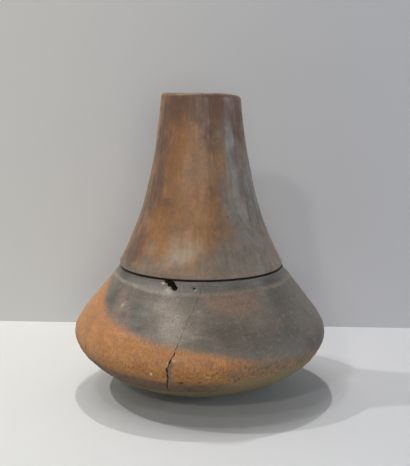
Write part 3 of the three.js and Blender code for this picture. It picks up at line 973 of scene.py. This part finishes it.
def fire_clouded_clay(colours):
    """Low-fired earthenware, scraped below and wiped smooth above, then fired in the open: orange where air
    reached it, smoked grey where it didn't, and pitted where its grit fell out."""
    material, tree, place = new_material("fire-clouded earthenware")
    across, height = (add_node(tree, "ShaderNodeSeparateXYZ", {"Vector": place}, axis) for axis in "XZ")
    names = ("over_cloud_edge", "over_ridge", "over_char", "crack", "flaked", "pit", "depth", *SPOTS_ON_BOWL)
    layers = {name: add_node(tree, "ShaderNodeAttribute", out="Fac", attribute_name=name) for name in names}
    # Patches of the fire, mottling, worn skin, strokes wiped round and strokes scraped upright, and the grit
    # of the temper, which is half a millimetre and is drawn coarser so that it shows
    broad = grain(tree, place, 34)
    mottled = grain(tree, place, 10, 4, 0.6)
    patchy = grain(tree, place, 5, 3, 0.6)
    wiped = grain(tree, place, 16, 4, stretch=(1, 1, 5))
    grainy = grain(tree, place, 1.7, 3, 0.6, (1, 1, 0.4))
    gritty = grain(tree, place, 1.3, 2)

    lower = warped(tree, height, (broad, 30 * MM))
    scraped = (lower, 68 * MM, 52 * MM, 0.08, 0.6)
    fired = laid(
        tree,
        colours.orange,
        (colours.ochre, (lower, 64 * MM, 50 * MM, 0, 1)),
        (colours.rust, (warped(tree, layers["dull"], (mottled, 0.9)), 0.1, 1.1, 0, 0.95)),
        (colours.gold, (grainy, 0.47, 0.36, 0, 1), scraped),
        (colours.char, (grainy, 0.53, 0.66, 0, 1), scraped),
        (colours.ridge, (patchy, 0.6, 0.72, 0, 0.25)),
        (colours.brown_cloud, (mottled, 0.52, 0.7, 0, 0.35)),
        (colours.russet, (broad, 0.55, 0.4, 0, 0.3)),
    )
    dark, light, brown = (warped(tree, layers[name], (mottled, 0.8)) for name in ("dark", "light", "brown"))
    smoked = laid(
        tree,
        colours.cloud,
        (colours.dark_cloud, (broad, 0.42, 0.66, 0, 0.4)),
        (colours.dark_cloud, (dark, 0.1, 0.95, 0, 1)),
        (colours.light_cloud, (light, 0.1, 0.95, 0, 0.9)),
        (colours.brown_cloud, (brown, 0.1, 0.95, 0, 0.95)),
        (colours.light_cloud, (patchy, 0.54, 0.7, 0, 0.35)),
        (colours.brown_cloud, (grainy, 0.5, 0.66, 0, 0.4)),
    )
    banded = laid(
        tree,
        colours.band,
        (colours.cloud, (wiped, 0.4, 0.65, 0, 0.6)),
        (colours.dark_cloud, (layers["dark"], 0.1, 0.8, 0, 0.9)),
        (colours.light_cloud, (layers["light"], 0.1, 0.9, 0, 0.6)),
    )
    # Painted highlight on the ridge: smoke worn thin, going to the ridge colour on the right.
    ridge_painted_highlight = laid(tree, colours.light_cloud, (colours.ridge, (across, -15 * MM, 12 * MM, 0, 1)))
    # Char and painted shade on the underside band: darkest on the left, going to olive on the right.
    burnt_and_shaded = laid(tree, colours.char, (colours.olive, (across, -5 * MM, 40 * MM, 0, 1)))
    # Smoke-dark clay with soot in patches, used as painted shade on the inside and the break's faces.
    soot_and_painted_shade = laid(tree, colours.inside, (colours.soot, (mottled, 0.35, 0.65, 0, 1)))

    edge = warped(tree, layers["over_cloud_edge"], (mottled, 9 * MM), (grainy, 3 * MM))
    ridge = warped(tree, layers["over_ridge"], (mottled, 2.5 * MM))
    # Where the ridge's painted highlight lies: a narrow strip along the ridge.
    on_ridge_highlight = ((ridge, -2.4 * MM, -0.6 * MM, 0, 1), (ridge, 2.0 * MM, 0.2 * MM, 0, 1))
    # The edge of the underside's char and painted shade.
    charred = warped(tree, layers["over_char"], (mottled, 5 * MM), (grainy, 9 * MM))
    level = warped(tree, height, (mottled, 8 * MM), (grainy, 5 * MM))
    colour = laid(
        tree,
        fired,
        (smoked, (edge, -4.5 * MM, 5.5 * MM, 0, 1)),
        (banded, (ridge, -0.5 * MM, 1.5 * MM, 0, 1)),
        (ridge_painted_highlight, *on_ridge_highlight, (mottled, 0.35, 0.6, 0.25, 0.8)),
        (burnt_and_shaded, (charred, 4.5 * MM, -3 * MM, 0, 1), (patchy, 0.35, 0.6, 1, 0.7)),
        # Darker towards the bottom: olive low down, and the char colour at the very foot.
        (colours.olive, (level, 29 * MM, 24 * MM, 0, 0.9)),
        (colours.char, (level, 8 * MM, 2 * MM, 0, 0.7)),
    )
    grit_shades = ((grainy, 0.3, 0.7, 1.1, 0.88), (gritty, 0.3, 0.7, 0.88, 1.1))
    colour = shaded(tree, colour, *grit_shades, (wiped, 0.3, 0.7, 0.92, 1.08))
    colour = laid(
        tree,
        colour,
        (colours.flake, (warped(tree, layers["flaked"], (patchy, 0.9)), 0.1, 0.9, 0, 0.85)),
        (colours.chip, (warped(tree, layers["scuff"], (gritty, 0.8)), 0.3, 1.1, 0, 0.95)),
        (colours.soot, (layers["pit"], 0.15, 0.8, 0, 0.75)),
    )
    # Painted shade in the crack: the colour goes to soot along it.
    crack_shade_inputs = {0: layers["crack"], 6: colour, 7: colours.soot}
    colour = add_node(tree, "ShaderNodeMix", crack_shade_inputs, 2, data_type="RGBA")
    # Painted shade: deep under the skin, on the inside and the break's faces, the colour goes to the
    # smoke-dark shade.
    colour = laid(tree, colour, (soot_and_painted_shade, (layers["depth"], 1.0 * MM, 2.0 * MM, 0, 1)))
    rough = eased(tree, ((level, 40 * MM, 80 * MM, 0.78, 0.5), (wiped, 0.3, 0.7, -0.06, 0.08)), "ADD")
    bump = fine_relief(tree, 0.6, 0.5 * MM, (grainy, 0.6), (wiped, 0.3))
    put_surface(tree, {"Base Color": colour, "Roughness": rough, "Normal": bump})
    return material


def burnished_clay(colours):
    """Earthenware rubbed with a pebble before firing: a satin sheen in upright strokes, tan to brown, with
    thin smoke and fine scratches."""
    material, tree, place = new_material("burnished earthenware")
    height = add_node(tree, "ShaderNodeSeparateXYZ", {"Vector": place}, "Z")
    names = ("scratch", "depth", *SPOTS_ON_NECK)
    layers = {name: add_node(tree, "ShaderNodeAttribute", out="Fac", attribute_name=name) for name in names}
    # Patches of the fire, mottling, worn skin, pebble strokes and the hair lines in them, and grit. The lines
    # and the grit are a few tenths of a millimetre and are drawn coarser so that they show
    broad = grain(tree, place, 26)
    mottled = grain(tree, place, 9, 4, 0.6, (1, 1, 0.7))
    patchy = grain(tree, place, 3.4, 3, 0.6, (1, 1, 0.8))
    strokes = grain(tree, wrapped_place(tree, place, 0.16), 4.5, 4, 0.6)
    hairs = grain(tree, wrapped_place(tree, place, 0.08), 1.5, 3, 0.6)
    gritty = grain(tree, place, 1.4, 2)

    tints = ("amber", "pale", "smoke_and_sheen", "brown")
    amber, pale, smoke_and_sheen, brown = (warped(tree, layers[name], (mottled, 0.9)) for name in tints)
    low = warped(tree, height, (mottled, 6 * MM))
    colour = laid(
        tree,
        colours.tan,
        (colours.brown, (broad, 0.38, 0.68, 0, 0.45)),
        (colours.amber, (amber, 0, 1.1, 0, 0.9)),
        (colours.pale, (pale, 0, 1.1, 0, 0.95)),
        # thin smoke, and a painted sheen along the neck's right side
        (colours.smoke_and_sheen, (smoke_and_sheen, 0, 1.1, 0, 1)),
        # darker streaks, and painted shade on the left flank
        (colours.brown, (brown, 0, 1.1, 0, 1)),
        (colours.smoke_and_sheen, (mottled, 0.56, 0.74, 0, 0.3)),
        (colours.smoke_and_sheen, (low, NECK_BOTTOM + 12 * MM, NECK_BOTTOM + 1 * MM, 0, 0.7)),
    )
    broad_shades = ((mottled, 0.3, 0.7, 1.14, 0.84), (patchy, 0.3, 0.7, 0.92, 1.08))
    stroke_shades = ((strokes, 0.35, 0.65, 1.04, 0.96), (hairs, 0.35, 0.65, 0.975, 1.025))
    colour = shaded(tree, colour, *broad_shades, *stroke_shades)
    # Smoke-dark clay with soot in patches, used as painted shade on the neck's inside and the skirt's lower
    # edge.
    soot_and_painted_shade = laid(tree, colours.inside, (colours.soot, (mottled, 0.35, 0.65, 0, 1)))
    colour = laid(
        tree,
        colour,
        (colours.soot, (gritty, 0.33, 0.22, 0, 0.4)),
        (colours.pale, (layers["scratch"], 0.1, 1.0, 0, 0.6)),
        (colours.soot, (layers["scratch"], -0.1, -1.0, 0, 0.6)),
        (colours.soot, (warped(tree, layers["speck"], (gritty, 0.5)), 0.25, 1.0, 0, 0.75)),
        (colours.brown, (height, NECK_TOP - 5 * MM, NECK_TOP - 0.5 * MM, 0, 0.25)),
        (soot_and_painted_shade, (layers["depth"], 1.2 * MM, 2.2 * MM, 0, 1)),
    )
    rough = eased(tree, ((strokes, 0.3, 0.7, 0.39, 0.49), (mottled, 0.35, 0.7, -0.05, 0.08)), "ADD")
    bump = fine_relief(tree, 0.5, 0.4 * MM, (strokes, 0.45), (hairs, 0.25), (patchy, 0.3))
    put_surface(tree, {"Base Color": colour, "Roughness": rough, "Normal": bump})
    return material


def dark_packing_as_seam_shade(colours):
    """Plant resin kneaded with ash: nearly black, dull, and lumpy from the fingers. Its black is painted
    shade in the seam.
    """
    material, tree, place = new_material("dark packing as painted seam shade")
    lumps = grain(tree, place, 3)
    colour = laid(tree, colours.packing, (colours.soot, (lumps, 0.45, 0.75, 0, 0.5)))
    bump = fine_relief(tree, 0.6, 0.5 * MM, (lumps, 1))
    put_surface(tree, {"Base Color": colour, "Roughness": 0.7, "Normal": bump})
    return material


def place_piece(name, mesh, material, body):
    """Puts a finished mesh in the scene as the piece that stands for the solid of the same name."""
    mesh.shade_smooth()
    mesh.set_sharp_from_angle(angle=math.radians(SHARP_ANGLE))
    mesh.materials.clear()
    mesh.materials.append(material)
    piece = bpy.data.objects.new(f"{name}_surface", mesh)
    bpy.context.scene.collection.objects.link(piece)
    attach(piece, body)
    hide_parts(name)


class JUG_OT_bowl(bpy.types.Operator):
    """Makes the bowl: foot, belly, shoulder, band and broken rim, with the crack down its front"""

    bl_idname = "jug.bowl"
    bl_label = "Bowl"

    def execute(self, context):
        sizes = context.scene.jug_sizes
        mesh = bowl_mesh(sizes)
        paint_bowl(mesh, sizes)
        settle(mesh, sizes)
        material = fire_clouded_clay(context.scene.jug_colours)
        place_piece("bowl_body", mesh, material, "bowl")
        return {"FINISHED"}


class JUG_OT_neck(bpy.types.Operator):
    """Makes the neck: collar, skirt, flared tube and worn lip"""

    bl_idname = "jug.neck"
    bl_label = "Neck"

    def execute(self, context):
        sizes = context.scene.jug_sizes
        mesh = neck_mesh(sizes)
        paint_neck(mesh)
        settle(mesh, sizes)
        material = burnished_clay(context.scene.jug_colours)
        place_piece("neck", mesh, material, "neck")
        return {"FINISHED"}


class JUG_OT_packing(bpy.types.Operator):
    """Makes the ring of dark packing in the seam between bowl and neck, which paints the seam's shade"""

    bl_idname = "jug.packing"
    bl_label = "Packing"

    def execute(self, context):
        mesh = packing_mesh()
        settle(mesh, context.scene.jug_sizes)
        place_piece("seam_lute", mesh, dark_packing_as_seam_shade(context.scene.jug_colours), "bowl")
        return {"FINISHED"}


# The view: the picture's height and the camera's focal length in pixels, and where the camera stands
PICTURE_HEIGHT = 466
FOCAL_PIXELS = 850
SENSOR = 36.0
CAMERA_PLACE = (5.2 * MM, -852.5 * MM, 301.9 * MM)
CAMERA_PITCH = 9.51
WALL_DISTANCE = 225 * MM
WALL_TURN = -3.7
STAGE_REACH = 4.0


def stage_plane(name, corners, material):
    """A flat sheet of the stage, through its four corners."""
    mesh = bpy.data.meshes.new(name)
    mesh.from_pydata(corners, [], [(0, 1, 2, 3)])
    mesh.materials.append(material)
    plane = bpy.data.objects.new(name, mesh)
    bpy.context.scene.collection.objects.link(plane)
    return plane


def painted_falloff_left_to_right(tree, place, left, right):
    """A colour that goes from one on the left of the jug to another on its right, by place: painted shade
    that copies the lamps' falloff.
    """
    across = add_node(tree, "ShaderNodeSeparateXYZ", {"Vector": place}, "X")
    return laid(tree, left, (right, (across, -300 * MM, 250 * MM, 0, 1)))


def shelf_material(colours):
    """Matt painted board, pale, and a little less bright on the right: painted shade, away from the lamps."""
    material, tree, place = new_material("pale shelf")
    colour = painted_falloff_left_to_right(tree, place, colours.shelf_left, colours.shelf_right_shaded)
    put_surface(tree, {"Base Color": colour, "Roughness": 0.8})
    return material


def wall_material(colours):
    """Matt grey paint, a little darker on the right as painted shade, and open from behind, so that the jug
    can be seen from the back.
    """
    material, tree, place = new_material("grey wall")
    colour = painted_falloff_left_to_right(tree, place, colours.wall_left, colours.wall_right_shaded)
    paint_shader = add_node(tree, "ShaderNodeBsdfPrincipled", {"Base Color": colour, "Roughness": 0.9})
    clear = add_node(tree, "ShaderNodeBsdfTransparent")
    behind = add_node(tree, "ShaderNodeNewGeometry", out="Backfacing")
    seen = add_node(tree, "ShaderNodeMixShader", {0: behind, 1: paint_shader, 2: clear})
    add_node(tree, "ShaderNodeOutputMaterial", {"Surface": seen})
    return material


# Lamps: name, place in metres, width, how bright they leave a white surface that faces them at the jug, where
# 1 leaves it white, and colour
LAMPS = (
    ("high ceiling lamp, back", (-0.25, 1.42, 4.0), 0.1, 0.27, (1, 0.99, 0.97)),
    ("ceiling lamp, left", (-1.36, 0.1, 2.0), 0.05, 0.25, (1, 0.99, 0.97)),
    ("ceiling lamp, nearer left", (-0.73, -0.32, 2.0), 0.05, 0.07, (1, 0.99, 0.97)),
    ("soft ceiling", (-0.5, 0.2, 2.6), 1.4, 0.21, (1, 0.99, 0.97)),
    ("ceiling lamp, front left", (-0.98, -1.31, 2.0), 0.07, 0.05, (1, 0.98, 0.96)),
    ("low lamp, front left", (-0.77, -1.85, 1.33), 0.14, 0.11, (1, 0.97, 0.92)),
    ("room, front", (0.2, -3.0, 0.3), 1.0, 0.29, (1, 0.97, 0.93)),
    ("window, right", (1.5, -0.3, 0.35), 0.2, 0.15, (0.68, 0.82, 1)),
)
AIM = (0, 0, 150 * MM)

# The room's own faint light
ROOM_COLOUR = (0.62, 0.8, 1)
ROOM_LEVEL = 0.08


def lamp(name, place, width, level, colour):
    """A square lamp turned to face the jug. Its power is the level times pi squared times its distance
    squared, which is what leaves a facing white surface at that level."""
    light = bpy.data.lights.new(name, "AREA")
    light.size = width
    right, back, up = np.array(AIM) - np.array(place)
    light.energy = level * math.pi**2 * (right**2 + back**2 + up**2)
    light.color = colour
    holder = bpy.data.objects.new(name, light)
    holder.location = place
    pan = math.atan2(back, right) - math.pi / 2
    tilt = math.atan2(up, math.hypot(right, back)) + math.pi / 2
    holder.rotation_euler = (tilt, 0, pan)
    bpy.context.scene.collection.objects.link(holder)


class JUG_OT_stage(bpy.types.Operator):
    """Makes the pale shelf, the grey wall, the lamps, the room's faint light and the camera"""

    bl_idname = "jug.stage"
    bl_label = "Stage"

    def execute(self, context):
        colours = context.scene.jug_colours
        far = STAGE_REACH
        floor = [(-far, -far, 0), (far, -far, 0), (far, far, 0), (-far, far, 0)]
        stage_plane("shelf", floor, shelf_material(colours))
        slant = far * math.tan(math.radians(WALL_TURN))
        left, right = WALL_DISTANCE - slant, WALL_DISTANCE + slant
        wall = [(-far, left, 0), (far, right, 0), (far, right, far), (-far, left, far)]
        plane = stage_plane("wall", wall, wall_material(colours))
        plane.visible_shadow = False

        for settings in LAMPS:
            lamp(*settings)
        world = bpy.data.worlds.new("room")
        world.use_nodes = True
        background = world.node_tree.nodes["Background"]
        background.inputs["Color"].default_value = (*ROOM_COLOUR, 1)
        background.inputs["Strength"].default_value = ROOM_LEVEL
        context.scene.world = world

        camera = bpy.data.cameras.new("camera")
        camera.sensor_width = SENSOR
        camera.lens = FOCAL_PIXELS / PICTURE_HEIGHT * SENSOR
        holder = bpy.data.objects.new("camera", camera)
        holder.location = CAMERA_PLACE
        holder.rotation_euler = (math.radians(90 - CAMERA_PITCH), 0, 0)
        context.scene.collection.objects.link(holder)
        context.scene.camera = holder
        context.scene.view_settings.view_transform = "Standard"
        return {"FINISHED"}


class JUG_PT_panel(bpy.types.Panel):
    """Lists the jug's pieces, sizes and colours in the 3D view's sidebar"""

    bl_label = "Milk jug"
    bl_idname = "JUG_PT_panel"
    bl_space_type = "VIEW_3D"
    bl_region_type = "UI"
    bl_category = "Milk jug"

    def draw(self, context):
        for operator in OPERATORS:
            self.layout.operator(operator.bl_idname)
        for group in (context.scene.jug_sizes, context.scene.jug_colours):
            column = self.layout.column(align=True)
            for name in group.__annotations__:
                column.prop(group, name)


OPERATORS = (JUG_OT_bowl, JUG_OT_neck, JUG_OT_packing, JUG_OT_stage)
CLASSES = (JugSizes, JugColours, *OPERATORS, JUG_PT_panel)


def register():
    for item in CLASSES:
        bpy.utils.register_class(item)
    bpy.types.Scene.jug_sizes = PointerProperty(type=JugSizes)
    bpy.types.Scene.jug_colours = PointerProperty(type=JugColours)


def unregister():
    del bpy.types.Scene.jug_colours
    del bpy.types.Scene.jug_sizes
    for item in reversed(CLASSES):
        bpy.utils.unregister_class(item)


def main():
    register()
    bpy.ops.jug.bowl()
    bpy.ops.jug.neck()
    bpy.ops.jug.packing()
    bpy.ops.jug.stage()


if __name__ == "__main__":
    main()
